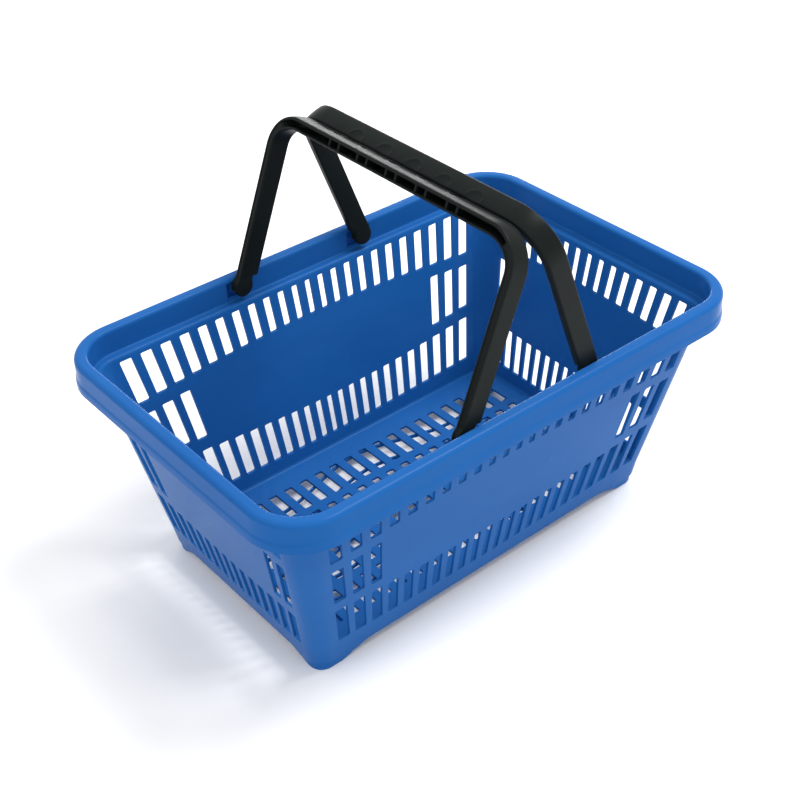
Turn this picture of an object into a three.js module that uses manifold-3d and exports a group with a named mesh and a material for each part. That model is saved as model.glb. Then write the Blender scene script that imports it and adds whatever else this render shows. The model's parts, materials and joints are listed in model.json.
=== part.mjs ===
// Shopping basket: a drafted, slotted tub with a rolled rim, four corner feet and two swinging bail handles.
// Millimetres. +X runs along the long side, +Y across the basket, +Z up; the origin is on the ground at the
// middle of the footprint. The handles stand up and lean on each other, as they do when the basket is carried.
import * as THREE from 'three';
import { mergeVertices } from 'three/addons/utils/BufferGeometryUtils.js';
import Module from 'manifold-3d';

const wasm = await Module();
wasm.setup();

// ---- Driving dimensions ------------------------------------------------------------------------------
const GAP = 0.3;                 // clearance between neighbouring solids
const WALL = 2.5;                // moulded wall thickness

const RIM_LENGTH = 480;          // over the skirt, along X
const RIM_WIDTH = 315;           // over the skirt, along Y
const TUB_HEIGHT = 209;          // ground to the top of the rim
const RIM_RADIUS = 46;           // outer corner radius of the skirt
const RIM_SECTION = 11.5;        // skirt outer face to band inner face
const SKIRT_HEIGHT = 26;         // how far the skirt hangs down
const LEDGE_TOP = 186.5;         // step under the band, on top of the walls
const OUTER_EDGE = 3;            // bevel along the outer top edge of the rim
const INNER_EDGE = 1.5;

const BASE_LENGTH = 374;         // outer faces of the walls at their bottom edge
const BASE_WIDTH = 213;
const BASE_LEVEL = 10.6;         // bottom edge of the walls
const BASE_RADIUS = 16;
const WALL_TOP = 183.7;          // top edge of the wall panels
const DRAFT = 0.1975;            // how far a wall leans out for each millimetre of height
const TOP_RADIUS = 23;           // outer corner radius at the top edge of the walls

const FLOOR_TOP = 16;
const RIB_DEPTH = 2.6;           // floor stiffening frame under the floor plate

const FOOT_LENGTH = 42;
const FOOT_WIDTH = 38;

const SLOT_WIDTH = 6;            // slot width at the middle of a wall
const SLOT_WIDTH_STEP = 0.5;     // each slot towards the corner is this much wider
const SLOT_PITCH = 14;
const LAYOUT_LEVEL = 163;        // height at which the slot pitch holds; columns converge below it
const LONG_COLUMNS = 11;         // columns each side of the middle one
const LONG_SPREAD = 0.255;       // extra spacing that grows with the column number
const LONG_MIDDLE_COLUMNS = 3;   // columns at each end that also have a middle slot
const SHORT_COLUMNS = 7;
const SHORT_SPREAD = 0.19;
const SHORT_MIDDLE_COLUMNS = 2;
const TOP_ROW_HIGH = 181.5;
const TOP_ROW_LOW = 149;
const LOW_ROW_HIGH = 65.5;
const LOW_ROW_LOW = 28;
const ROW_BAR = 11;              // bar between rows of slots
const ROW_BOW = 10;              // rows bow towards the middle band by this much at the ends

const FLOOR_PITCH = 17.2;        // a bar, not a slot, lies on the middle of the floor
const FLOOR_COLUMNS = 10;        // columns of floor slots each side of the middle
const FLOOR_SLOT = 8.5;
const FLOOR_ROWS = [[-82, -49], [-41, -5], [5, 41], [49, 82]];

const PIVOT_X = 66;              // handle hinge axes, along Y
const PIVOT_Z = 201;
const LEAN = THREE.MathUtils.degToRad(20.8);   // lean of each raised handle past vertical
const BAIL_LENGTH = 157;         // hinge axis to the top of the grip
const BAIL_HALF_WIDTH = 145;     // outer faces of the arms
const BAIL_RADIUS = 45;          // outer radius of the bends
const STRAP_WIDTH = 18.5;
const STRAP_THICKNESS = 7;
const STRAP_OFFSET = 1.5;        // the straps sit this far towards the other handle
const LUG_RADIUS = 9.25;         // rounded strap ends, centred on the hinge axis
const LUG_STEP = 6.8;            // the strap is cut back to this distance from the axis beside the lug
const LUG_STEP_HEIGHT = 11;
const GRIP_DEPTH = 12;
const FLANGE = 2.6;              // grip channel flanges and web
const GRIP_RIB = 1.8;
const GRIP_RIB_PITCH = 34.5;     // pairs of ribs repeat at this pitch
const GRIP_RIB_PAIR = 5.6;       // half spacing of a pair

const TRUNNION_RADIUS = 4;
const TRUNNION_LENGTH = 6;
const SOCKET_BORE_RADIUS = 4.35;
const WINDOW_WIDTH = 26;         // moulding window in the band behind each lug
const WINDOW_BOTTOM = 190.5;
const WINDOW_TOP = 205.5;

// ---- Materials ---------------------------------------------------------------------------------------
const BLUE = new THREE.MeshStandardMaterial({ color: 0x1f5fae, roughness: 0.42, metalness: 0 });
const BLACK = new THREE.MeshStandardMaterial({ color: 0x1b1f1f, roughness: 0.45, metalness: 0 });

// ---- Small helpers -----------------------------------------------------------------------------------
const lerp = (a, b, t) => a + (b - a) * t;

function solidFrom(geometry) {
  const bare = geometry.clone();
  bare.deleteAttribute('normal');
  bare.deleteAttribute('uv');
  const merged = mergeVertices(bare, 1e-4);
  return new wasm.Manifold(new wasm.Mesh({
    numProp: 3,
    vertProperties: new Float32Array(merged.attributes.position.array),
    triVerts: new Uint32Array(merged.index.array),
  }));
}

function geometryFrom(solid) {
  const mesh = solid.getMesh();
  const geometry = new THREE.BufferGeometry();
  geometry.setAttribute('position', new THREE.BufferAttribute(mesh.vertProperties, 3));
  geometry.setIndex(new THREE.BufferAttribute(mesh.triVerts, 1));
  geometry.computeVertexNormals();
  return geometry;
}

function named(name, geometry, material) {
  const mesh = new THREE.Mesh(geometry, material);
  mesh.name = name;
  return mesh;
}

function box(x0, x1, y0, y1, z0, z1) {
  const geometry = new THREE.BoxGeometry(x1 - x0, y1 - y0, z1 - z0);
  geometry.translate((x0 + x1) / 2, (y0 + y1) / 2, (z0 + z1) / 2);
  return geometry;
}

function outline(points) {
  return new THREE.Shape(points.map(([x, y]) => new THREE.Vector2(x, y)));
}

// A flat plate of the given outline and thickness, cut right through by each of the smaller outlines.
function perforated(points, thickness, cuts) {
  const plate = new THREE.ExtrudeGeometry(outline(points), { depth: thickness, bevelEnabled: false });
  let solid = solidFrom(plate);
  cuts.forEach((corners) => {
    const cutter = new THREE.ExtrudeGeometry(outline(corners), { depth: thickness + 2, bevelEnabled: false });
    cutter.translate(0, 0, -1);
    solid = solid.subtract(solidFrom(cutter));
  });
  return geometryFrom(solid);
}

// A closed solid between two outlines with the same number of points, one at each level.
function loft(lower, upper, z0, z1) {
  const count = lower.length;
  const position = [];
  lower.forEach(([x, y]) => position.push(x, y, z0));
  upper.forEach(([x, y]) => position.push(x, y, z1));
  const index = [];
  for (let i = 0; i < count; i += 1) {
    const j = (i + 1) % count;
    index.push(i, j, count + j, i, count + j, count + i);
  }
  const caps = THREE.ShapeUtils.triangulateShape(lower.map(([x, y]) => new THREE.Vector2(x, y)), []);
  caps.forEach(([a, b, c]) => index.push(c, b, a, count + a, count + b, count + c));
  const geometry = new THREE.BufferGeometry();
  geometry.setAttribute('position', new THREE.Float32BufferAttribute(position, 3));
  geometry.setIndex(index);
  geometry.computeVertexNormals();
  return geometry;
}

function arc(cx, cy, radius, from, to, steps) {
  const points = [];
  for (let i = 0; i <= steps; i += 1) {
    const angle = lerp(from, to, i / steps);
    points.push([cx + radius * Math.cos(angle), cy + radius * Math.sin(angle)]);
  }
  return points;
}

// ---- Wall geometry as functions of height -------------------------------------------------------------
const halfLength = (z) => BASE_LENGTH / 2 + DRAFT * (z - BASE_LEVEL);
const halfWidth = (z) => BASE_WIDTH / 2 + DRAFT * (z - BASE_LEVEL);
const cornerRadius = (z) => lerp(BASE_RADIUS, TOP_RADIUS, (z - BASE_LEVEL) / (WALL_TOP - BASE_LEVEL));
const TILT = Math.atan(DRAFT);

// One slot as four corners in panel coordinates: x along the wall, y up the slope from the bottom edge.
function slot(half, column, spread, low, high) {
  const centre = SLOT_PITCH * column + spread * column * Math.abs(column);
  const width = SLOT_WIDTH + SLOT_WIDTH_STEP * Math.abs(column);
  const at = (z) => centre * half(z) / half(LAYOUT_LEVEL);
  const up = (z) => (z - BASE_LEVEL) / Math.cos(TILT);
  return [
    [at(low) - width / 2, up(low)],
    [at(low) + width / 2, up(low)],
    [at(high) + width / 2, up(high)],
    [at(high) - width / 2, up(high)],
  ];
}

// A drafted wall: full rows of slots at the top and bottom, short middle slots at the ends only.
function wallPanel(half, columns, middleColumns, spread) {
  const flat = (z) => half(z) - cornerRadius(z) - GAP / 2;
  const height = (WALL_TOP - BASE_LEVEL) / Math.cos(TILT);
  const low = flat(BASE_LEVEL);
  const high = flat(WALL_TOP);
  const slots = [];
  for (let i = -columns; i <= columns; i += 1) {
    const t = (i / LONG_COLUMNS) ** 2;
    slots.push(slot(half, i, spread, TOP_ROW_LOW - ROW_BOW * t, TOP_ROW_HIGH));
    slots.push(slot(half, i, spread, LOW_ROW_LOW + ROW_BOW / 2 * t, LOW_ROW_HIGH + ROW_BOW * t));
    if (Math.abs(i) > columns - middleColumns) {
      slots.push(slot(half, i, spread, LOW_ROW_HIGH + ROW_BAR + ROW_BOW * t, TOP_ROW_LOW - ROW_BAR - ROW_BOW * t));
    }
  }
  return perforated([[-low, 0], [low, 0], [high, height], [-high, height]], WALL, slots);
}

// The panel's drawn face is its outer face; it is stood up, leant out and turned to its side.
function placedWall(name, geometry, half, turn) {
  const mesh = named(name, geometry, BLUE);
  mesh.rotation.x = Math.PI / 2 + TILT;
  mesh.position.set(0, 0, BASE_LEVEL);
  const lean = new THREE.Group();
  mesh.position.y = -half(BASE_LEVEL) + WALL / Math.cos(TILT);
  lean.add(mesh);
  lean.rotation.z = turn;
  return lean;
}

function cornerPost(name, sx, sy) {
  const steps = 6;
  const section = (z) => {
    const radius = cornerRadius(z);
    const cx = halfLength(z) - radius;
    const cy = halfWidth(z) - radius;
    const inner = radius - WALL * 1.02;
    const outside = arc(cx, cy, radius, 0, Math.PI / 2, steps);
    const inside = arc(cx, cy, inner, Math.PI / 2, 0, steps);
    outside[0] = [cx + radius, cy + GAP / 2];
    outside[steps] = [cx + GAP / 2, cy + radius];
    inside[0] = [cx + GAP / 2, cy + inner];
    inside[steps] = [cx + inner, cy + GAP / 2];
    const ring = [...outside, ...inside].map(([x, y]) => [sx * x, sy * y]);
    return sx * sy < 0 ? ring.reverse() : ring;
  };
  return named(name, loft(section(BASE_LEVEL), section(WALL_TOP), BASE_LEVEL, WALL_TOP), BLUE);
}

// ---- Rim: ledge, band, cap and skirt in one hooked section ---------------------------------------------
// Section points are (distance inwards from the skirt's outer face, height).
function rimSection() {
  const ledgeInner = RIM_LENGTH / 2 - halfLength(WALL_TOP) + WALL;
  return [
    [0, TUB_HEIGHT - SKIRT_HEIGHT],
    [WALL, TUB_HEIGHT - SKIRT_HEIGHT],
    [WALL, TUB_HEIGHT - WALL],
    [RIM_SECTION - WALL, TUB_HEIGHT - WALL],
    [RIM_SECTION - WALL, LEDGE_TOP - WALL],
    [ledgeInner, LEDGE_TOP - WALL],
    [ledgeInner, LEDGE_TOP],
    [RIM_SECTION, LEDGE_TOP],
    [RIM_SECTION, TUB_HEIGHT - INNER_EDGE],
    [RIM_SECTION - INNER_EDGE, TUB_HEIGHT],
    [OUTER_EDGE, TUB_HEIGHT],
    [0, TUB_HEIGHT - OUTER_EDGE],
  ];
}

// Extruded along +X with the skirt facing -Y.
function rimLength(half, reach) {
  const shape = outline(rimSection().map(([inward, z]) => [inward - reach, z]));
  const run = 2 * (half - RIM_RADIUS) - GAP;
  const geometry = new THREE.ExtrudeGeometry(shape, { depth: run, bevelEnabled: false });
  geometry.translate(0, 0, -run / 2);
  geometry.rotateX(Math.PI / 2);
  geometry.rotateZ(Math.PI / 2);
  return geometry;
}

function longRim(name, turn) {
  let solid = solidFrom(rimLength(RIM_LENGTH / 2, RIM_WIDTH / 2));
  const band = RIM_WIDTH / 2 - RIM_SECTION;
  [-PIVOT_X, PIVOT_X].forEach((x) => {
    const window = box(x - WINDOW_WIDTH / 2, x + WINDOW_WIDTH / 2, -band - WALL - 1, -band + 1,
      WINDOW_BOTTOM, WINDOW_TOP);
    solid = solid.subtract(solidFrom(window));
  });
  const mesh = named(name, geometryFrom(solid), BLUE);
  mesh.rotation.z = turn;
  return mesh;
}

function shortRim(name, turn) {
  const mesh = named(name, rimLength(RIM_WIDTH / 2, RIM_LENGTH / 2), BLUE);
  mesh.rotation.z = turn;
  return mesh;
}

function rimCorner(name, sx, sy) {
  const section = rimSection().map(([inward, z]) => new THREE.Vector2(RIM_RADIUS - inward, z));
  const profile = [...section, section[0]].reverse();
  const ring = new THREE.LatheGeometry(profile, 36);
  ring.rotateX(Math.PI / 2);
  const quarter = solidFrom(ring).intersect(solidFrom(box(
    sx > 0 ? GAP / 2 : -RIM_RADIUS * 2, sx > 0 ? RIM_RADIUS * 2 : -GAP / 2,
    sy > 0 ? GAP / 2 : -RIM_RADIUS * 2, sy > 0 ? RIM_RADIUS * 2 : -GAP / 2,
    0, TUB_HEIGHT * 2,
  )));
  const mesh = named(name, geometryFrom(quarter), BLUE);
  mesh.position.set(sx * (RIM_LENGTH / 2 - RIM_RADIUS), sy * (RIM_WIDTH / 2 - RIM_RADIUS), 0);
  return mesh;
}

// ---- Floor -------------------------------------------------------------------------------------------
const FLOOR_HALF_LENGTH = halfLength(FLOOR_TOP - WALL) - WALL * 1.03 - GAP;
const FLOOR_HALF_WIDTH = halfWidth(FLOOR_TOP - WALL) - WALL * 1.03 - GAP;

function roundedRectangle(halfX, halfY, radius, steps = 4) {
  return [
    ...arc(halfX - radius, halfY - radius, radius, 0, Math.PI / 2, steps),
    ...arc(-halfX + radius, halfY - radius, radius, Math.PI / 2, Math.PI, steps),
    ...arc(-halfX + radius, -halfY + radius, radius, Math.PI, Math.PI * 1.5, steps),
    ...arc(halfX - radius, -halfY + radius, radius, Math.PI * 1.5, Math.PI * 2, steps),
  ];
}

function rectangle(x, y, halfX, halfY) {
  return [[x - halfX, y - halfY], [x + halfX, y - halfY], [x + halfX, y + halfY], [x - halfX, y + halfY]];
}

function floorGrille() {
  const slots = [];
  for (let i = -FLOOR_COLUMNS; i < FLOOR_COLUMNS; i += 1) {
    const x = (i + 0.5) * FLOOR_PITCH;
    FLOOR_ROWS.forEach(([low, high]) => {
      slots.push(rectangle(x, (low + high) / 2, FLOOR_SLOT / 2, (high - low) / 2));
    });
  }
  const plate = roundedRectangle(FLOOR_HALF_LENGTH, FLOOR_HALF_WIDTH, BASE_RADIUS - WALL);
  const geometry = perforated(plate, WALL, slots);
  geometry.translate(0, 0, FLOOR_TOP - WALL);
  return named('floor_grille', geometry, BLUE);
}

function floorRibFrame() {
  const margin = 6;
  const halfX = FLOOR_HALF_LENGTH - margin;
  const halfY = FLOOR_HALF_WIDTH - margin;
  const columns = 8;
  const rows = 5;
  const bar = 2.4;
  const cellX = 2 * (halfX - bar) / columns;
  const cellY = 2 * (halfY - bar) / rows;
  const cells = [];
  for (let i = 0; i < columns; i += 1) {
    for (let j = 0; j < rows; j += 1) {
      const atCorner = (i === 0 || i === columns - 1) && (j === 0 || j === rows - 1);
      if (!atCorner) {
        const x = (i - (columns - 1) / 2) * cellX;
        const y = (j - (rows - 1) / 2) * cellY;
        cells.push(rectangle(x, y, (cellX - bar) / 2, (cellY - bar) / 2));
      }
    }
  }
  const geometry = perforated(roundedRectangle(halfX, halfY, BASE_RADIUS - WALL), RIB_DEPTH, cells);
  geometry.translate(0, 0, FLOOR_TOP - WALL - GAP - RIB_DEPTH);
  return named('floor_rib_frame', geometry, BLUE);
}

// ---- Feet --------------------------------------------------------------------------------------------
function foot(name, sx, sy) {
  const section = (inset, z) => {
    const x1 = halfLength(BASE_LEVEL) - 1.5 - inset;
    const y1 = halfWidth(BASE_LEVEL) - 1.5 - inset;
    const x0 = x1 - FOOT_LENGTH + 2 * inset;
    const y0 = y1 - FOOT_WIDTH + 2 * inset;
    const outer = BASE_RADIUS - 1;
    const inner = 8;
    const ring = [
      ...arc(x1 - outer, y1 - outer, outer, 0, Math.PI / 2, 5),
      ...arc(x0 + inner, y1 - inner, inner, Math.PI / 2, Math.PI, 3),
      ...arc(x0 + inner, y0 + inner, inner, Math.PI, Math.PI * 1.5, 3),
      ...arc(x1 - inner, y0 + inner, inner, Math.PI * 1.5, Math.PI * 2, 3),
    ].map(([x, y]) => [sx * x, sy * y]);
    return sx * sy < 0 ? ring.reverse() : ring;
  };
  const top = BASE_LEVEL - WALL * Math.sin(TILT) - GAP;
  return named(name, loft(section(2.5, 0), section(0, top), 0, top), BLUE);
}

// ---- Handle sockets: a bored tab hanging under the rim cap, outside the band window --------------------
function pivotSocket(name, sx, sy) {
  const face = RIM_WIDTH / 2 - RIM_SECTION + WALL + GAP;
  const half = 9;
  const depth = 3;
  const top = TUB_HEIGHT - WALL - GAP - PIVOT_Z;
  const tab = [[half, top], [-half, top], ...arc(0, 0, half, Math.PI, Math.PI * 2, 12)];
  const bore = arc(0, 0, SOCKET_BORE_RADIUS, 0, Math.PI * 2, 24).slice(0, 24);
  const geometry = perforated(tab, depth, [bore]);
  geometry.rotateX(Math.PI / 2);
  const mesh = named(name, geometry, BLUE);
  mesh.position.set(sx * PIVOT_X, sy > 0 ? face + depth : -face, PIVOT_Z);
  return mesh;
}

// ---- Handles -----------------------------------------------------------------------------------------
// A bail is drawn upright in its own frame: hinge axis along Y through the origin, grip overhead, and the
// other handle on its -X side (the left handle is turned half round).
const GRIP_HALF = BAIL_HALF_WIDTH - BAIL_RADIUS;
const STRAP_CENTRE = -STRAP_OFFSET;

function bailArm(name) {
  const outer = BAIL_HALF_WIDTH;
  const inner = outer - STRAP_THICKNESS;
  const bend = BAIL_LENGTH - BAIL_RADIUS;
  const profile = [
    [inner, 0],
    [outer, 0],
    ...arc(GRIP_HALF, bend, BAIL_RADIUS, 0, Math.PI / 2, 8).map(([y, z]) => [Math.max(y, GRIP_HALF + GAP), z]),
    ...arc(GRIP_HALF, bend, BAIL_RADIUS - STRAP_THICKNESS, Math.PI / 2, 0, 8)
      .map(([y, z]) => [Math.max(y, GRIP_HALF + GAP), z]),
  ];
  const strap = new THREE.ExtrudeGeometry(outline(profile), { depth: STRAP_WIDTH, bevelEnabled: false });
  strap.rotateX(Math.PI / 2);
  strap.rotateZ(Math.PI / 2);
  strap.translate(STRAP_CENTRE - STRAP_WIDTH / 2, 0, 0);
  const lug = new THREE.CylinderGeometry(LUG_RADIUS, LUG_RADIUS, STRAP_THICKNESS, 32);
  lug.translate(0, (inner + outer) / 2, 0);
  const shoulder = box(-STRAP_WIDTH, -LUG_STEP, inner - 1, outer + 1, -LUG_STEP_HEIGHT, LUG_STEP_HEIGHT);
  const solid = solidFrom(strap).subtract(solidFrom(shoulder)).add(solidFrom(lug));
  return named(name, geometryFrom(solid), BLACK);
}

function trunnion(name) {
  const geometry = new THREE.CylinderGeometry(TRUNNION_RADIUS, TRUNNION_RADIUS, TRUNNION_LENGTH, 24);
  geometry.translate(0, BAIL_HALF_WIDTH + GAP + TRUNNION_LENGTH / 2, 0);
  return named(name, geometry, BLACK);
}

// The grip is a channel open on the side away from the other handle, with paired ribs across it.
function bailGrip(name) {
  const top = BAIL_LENGTH;
  const bottom = top - GRIP_DEPTH;
  const inner = STRAP_CENTRE - STRAP_WIDTH / 2;
  const outer = STRAP_CENTRE + STRAP_WIDTH / 2;
  let solid = solidFrom(box(inner, outer, -GRIP_HALF, GRIP_HALF, bottom, top));
  const mouth = box(inner + FLANGE, outer + 1, -GRIP_HALF + FLANGE, GRIP_HALF - FLANGE,
    bottom + FLANGE - 0.6, top - FLANGE);
  solid = solid.subtract(solidFrom(mouth));
  for (let i = -2; i <= 2; i += 1) {
    [-GRIP_RIB_PAIR, GRIP_RIB_PAIR].forEach((offset) => {
      const y = i * GRIP_RIB_PITCH + offset;
      const rib = box(inner + FLANGE - 1, outer - 0.5, y - GRIP_RIB / 2, y + GRIP_RIB / 2,
        bottom + 1, top - 1);
      solid = solid.add(solidFrom(rib));
    });
  }
  return named(name, geometryFrom(solid), BLACK);
}

function handle(side, sign) {
  const bail = new THREE.Group();
  bail.add(bailGrip(`${side}_handle_grip`));
  ['far', 'near'].forEach((end) => {
    const arm = bailArm(`${side}_handle_${end}_arm`);
    const pin = trunnion(`${side}_handle_${end}_trunnion`);
    const flip = (end === 'far') === (sign > 0);
    [arm, pin].forEach((mesh) => {
      if (!flip) mesh.geometry = mirrored(mesh.geometry);
      bail.add(mesh);
    });
  });
  bail.rotation.z = sign > 0 ? 0 : Math.PI;
  const hinge = new THREE.Group();
  hinge.add(bail);
  hinge.rotation.y = -sign * LEAN;
  hinge.position.set(sign * PIVOT_X, 0, PIVOT_Z);
  return hinge;
}

// Mirror a solid across the XZ plane and turn its triangles the right way round again.
function mirrored(geometry) {
  const copy = geometry.index ? geometry.clone() : mergeVertices(geometry, 1e-4);
  copy.scale(1, -1, 1);
  const index = copy.index.array;
  for (let i = 0; i < index.length; i += 3) {
    [index[i], index[i + 1]] = [index[i + 1], index[i]];
  }
  copy.computeVertexNormals();
  return copy;
}

// ---- Assembly ----------------------------------------------------------------------------------------
const basket = new THREE.Group();

basket.add(floorGrille(), floorRibFrame());

const longWall = wallPanel(halfLength, LONG_COLUMNS, LONG_MIDDLE_COLUMNS, LONG_SPREAD);
const shortWall = wallPanel(halfWidth, SHORT_COLUMNS, SHORT_MIDDLE_COLUMNS, SHORT_SPREAD);
basket.add(placedWall('near_long_wall', longWall, halfWidth, 0));
basket.add(placedWall('far_long_wall', longWall, halfWidth, Math.PI));
basket.add(placedWall('right_short_wall', shortWall, halfLength, Math.PI / 2));
basket.add(placedWall('left_short_wall', shortWall, halfLength, -Math.PI / 2));

basket.add(longRim('near_long_rim', 0), longRim('far_long_rim', Math.PI));
basket.add(shortRim('right_short_rim', Math.PI / 2), shortRim('left_short_rim', -Math.PI / 2));

const CORNERS = [
  ['near_left', -1, -1],
  ['near_right', 1, -1],
  ['far_right', 1, 1],
  ['far_left', -1, 1],
];
CORNERS.forEach(([place, sx, sy]) => {
  basket.add(cornerPost(`${place}_corner`, sx, sy));
  basket.add(rimCorner(`${place}_rim_corner`, sx, sy));
  basket.add(foot(`${place}_foot`, sx, sy));
  basket.add(pivotSocket(`${place}_pivot_socket`, sx, sy));
});

basket.add(handle('left', -1), handle('right', 1));

export default basket;
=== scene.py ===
"""Shopping basket: a slotted plastic tub with a hooked rim, four lobed feet and two swinging bail handles.

Sizes are in millimetres in the classes below, and turned into metres as the points are made.
"""
import json
import logging
import math
from collections.abc import Callable, Sequence
from dataclasses import dataclass, field
from enum import Enum
from itertools import pairwise
from typing import Any

import bmesh
import bpy
from mathutils import Matrix, Vector

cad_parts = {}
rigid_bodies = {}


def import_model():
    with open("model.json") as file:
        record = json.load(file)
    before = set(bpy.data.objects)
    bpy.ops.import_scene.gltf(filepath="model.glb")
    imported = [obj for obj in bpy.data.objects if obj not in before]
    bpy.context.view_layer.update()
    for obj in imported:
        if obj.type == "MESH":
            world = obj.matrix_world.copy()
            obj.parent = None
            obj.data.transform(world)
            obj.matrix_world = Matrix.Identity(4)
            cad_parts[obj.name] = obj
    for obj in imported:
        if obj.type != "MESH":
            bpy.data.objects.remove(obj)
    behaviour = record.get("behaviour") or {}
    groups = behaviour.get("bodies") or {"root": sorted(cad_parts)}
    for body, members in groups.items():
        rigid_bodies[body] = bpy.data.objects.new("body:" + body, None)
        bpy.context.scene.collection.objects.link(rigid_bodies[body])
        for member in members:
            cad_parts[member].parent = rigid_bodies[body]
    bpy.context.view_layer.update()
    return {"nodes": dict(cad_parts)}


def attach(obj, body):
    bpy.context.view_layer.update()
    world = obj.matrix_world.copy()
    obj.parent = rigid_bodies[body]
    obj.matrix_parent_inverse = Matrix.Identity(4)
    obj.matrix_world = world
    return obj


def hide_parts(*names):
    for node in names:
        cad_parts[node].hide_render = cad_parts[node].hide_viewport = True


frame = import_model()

MM = 0.001
LOG = logging.getLogger("basket")
Point = tuple[float, float, float]
Color = tuple[float, float, float]


class Body(Enum):
    """The bodies that the pieces ride on."""

    BASKET = "basket"
    LEFT = "left_handle"
    RIGHT = "right_handle"


class Slot(Enum):
    """The material slots of the record."""

    TUB = "tub_plastic"
    HANDLE = "handle_plastic"


class Side(Enum):
    """The two bail handles, with the direction of their hinge from the middle of the basket."""

    LEFT = -1
    RIGHT = 1


def mix(low: float, high: float, share: float) -> float:
    """Return the value that lies a share of the way from low to high."""
    return low + (high - low) * share


def eased(low: float, high: float, value: float) -> float:
    """Return 0 below low and 1 above high, with a smooth rise between.

    Args:
        low: Value at which the rise starts.
        high: Value at which it ends.
        value: Value to look up.

    Returns:
        A number from 0 to 1.
    """
    share = min(1.0, max(0.0, (value - low) / (high - low)))
    return share * share * (3 - 2 * share)


def along_marks(marks: Sequence[tuple[float, float]], value: float) -> float:
    """Read a table of marks, with straight lines between them.

    Args:
        marks: Pairs of position and reading, in rising order of position.
        value: Position to look up.

    Returns:
        The reading there, held level beyond the ends.
    """
    if value <= marks[0][0]:
        return marks[0][1]
    for (x0, y0), (x1, y1) in pairwise(marks):
        if value <= x1:
            return mix(y0, y1, (value - x0) / (x1 - x0))
    return marks[-1][1]


def arc(centre: tuple[float, float], radius: float, start: float, end: float,
        steps: int) -> list[tuple[float, float]]:
    """Return points along an arc.

    Args:
        centre: Centre of the arc.
        radius: Its radius.
        start: First angle, in degrees.
        end: Last angle, in degrees.
        steps: Number of chords.

    Returns:
        The points, both ends included.
    """
    angles = [math.radians(mix(start, end, i / steps)) for i in range(steps + 1)]
    return [(centre[0] + radius * math.cos(a), centre[1] + radius * math.sin(a)) for a in angles]


# ---- Node trees ---------------------------------------------------------------------------------------


class Tree:
    """A node group under construction, with named inputs and outputs."""

    def __init__(self, name: str, kind: str = "GeometryNodeTree") -> None:
        """Start an empty group of the given kind."""
        self.group = bpy.data.node_groups.new(name, kind)
        self.entry = self.group.nodes.new("NodeGroupInput")
        self.exit = self.group.nodes.new("NodeGroupOutput")

    def takes(self, name: str, kind: str = "NodeSocketFloat", value: Any = None) -> bpy.types.NodeSocket:
        """Add a named input.

        Args:
            name: Name of the input.
            kind: Socket type.
            value: Its usual value.

        Returns:
            The socket that gives the value inside the group.
        """
        socket = self.group.interface.new_socket(name, in_out="INPUT", socket_type=kind)
        if value is not None:
            socket.default_value = value
        return self.entry.outputs[name]

    def gives(self, name: str, source: bpy.types.NodeSocket, kind: str = "NodeSocketFloat") -> None:
        """Add a named output and feed it from a socket."""
        self.group.interface.new_socket(name, in_out="OUTPUT", socket_type=kind)
        self.group.links.new(source, self.exit.inputs[name])

    def add(self, kind: str, links: dict[Any, Any] | None = None, **settings: Any) -> bpy.types.Node:
        """Add a node.

        Args:
            kind: Node type.
            links: Input name or number to a socket that feeds it, or to a plain value.
            settings: Properties of the node.

        Returns:
            The new node.
        """
        return add_node(self.group, kind, links, **settings)

    def ends(self, name: str, node: bpy.types.Node, plastic: bpy.types.NodeSocket) -> "Tree":
        """End a geometry tree: make a node's result real, give it the plastic and put it out.

        Args:
            name: Name of the output.
            node: Node whose first output is the finished shape.
            plastic: Socket of the material.

        Returns:
            This tree.
        """
        real = self.add("GeometryNodeRealizeInstances", {"Geometry": node.outputs[0]})
        done = self.add("GeometryNodeSetMaterial", {"Geometry": real.outputs[0], "Material": plastic})
        self.gives(name, done.outputs[0], "NodeSocketGeometry")
        return self

    def math(self, operation: str, *values: Any) -> bpy.types.NodeSocket:
        """Add a math node fed by the values or sockets, and return its result."""
        return self.add("ShaderNodeMath", dict(enumerate(values)), operation=operation).outputs[0]


def add_node(tree: bpy.types.NodeTree, kind: str, links: dict[Any, Any] | None = None,
             **settings: Any) -> bpy.types.Node:
    """Add a node to a tree, set its properties and feed its inputs.

    Args:
        tree: Tree that gets the node.
        kind: Node type.
        links: Input name or number to a socket that feeds it, or to a plain value.
        settings: Properties of the node.

    Returns:
        The new node.
    """
    node = tree.nodes.new(kind)
    for name, value in settings.items():
        setattr(node, name, value)
    for key, source in (links or {}).items():
        if isinstance(source, bpy.types.NodeSocket):
            tree.links.new(source, node.inputs[key])
        else:
            node.inputs[key].default_value = source
    return node


def baked(piece: bpy.types.Object) -> bpy.types.Object:
    """Turn what a piece's modifiers make into its plain mesh, and remove them."""
    graph = bpy.context.evaluated_depsgraph_get()
    mesh = bpy.data.meshes.new_from_object(
        piece.evaluated_get(graph), preserve_all_data_layers=True, depsgraph=graph)
    piece.modifiers.clear()
    piece.data = mesh
    return piece


def grown(piece: bpy.types.Object, tree: Tree, values: dict[str, Any]) -> bpy.types.Object:
    """Run a geometry tree on a piece and keep what it makes.

    Args:
        piece: Object that the tree works on.
        tree: The tree.
        values: Input name to value.

    Returns:
        The same object, with a plain mesh.
    """
    modifier = piece.modifiers.new(tree.group.name, "NODES")
    modifier.node_group = tree.group
    for item in tree.group.interface.items_tree:
        if item.item_type == "SOCKET" and item.in_out == "INPUT" and item.name in values:
            modifier[item.identifier] = values[item.name]
    return baked(piece)


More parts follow.
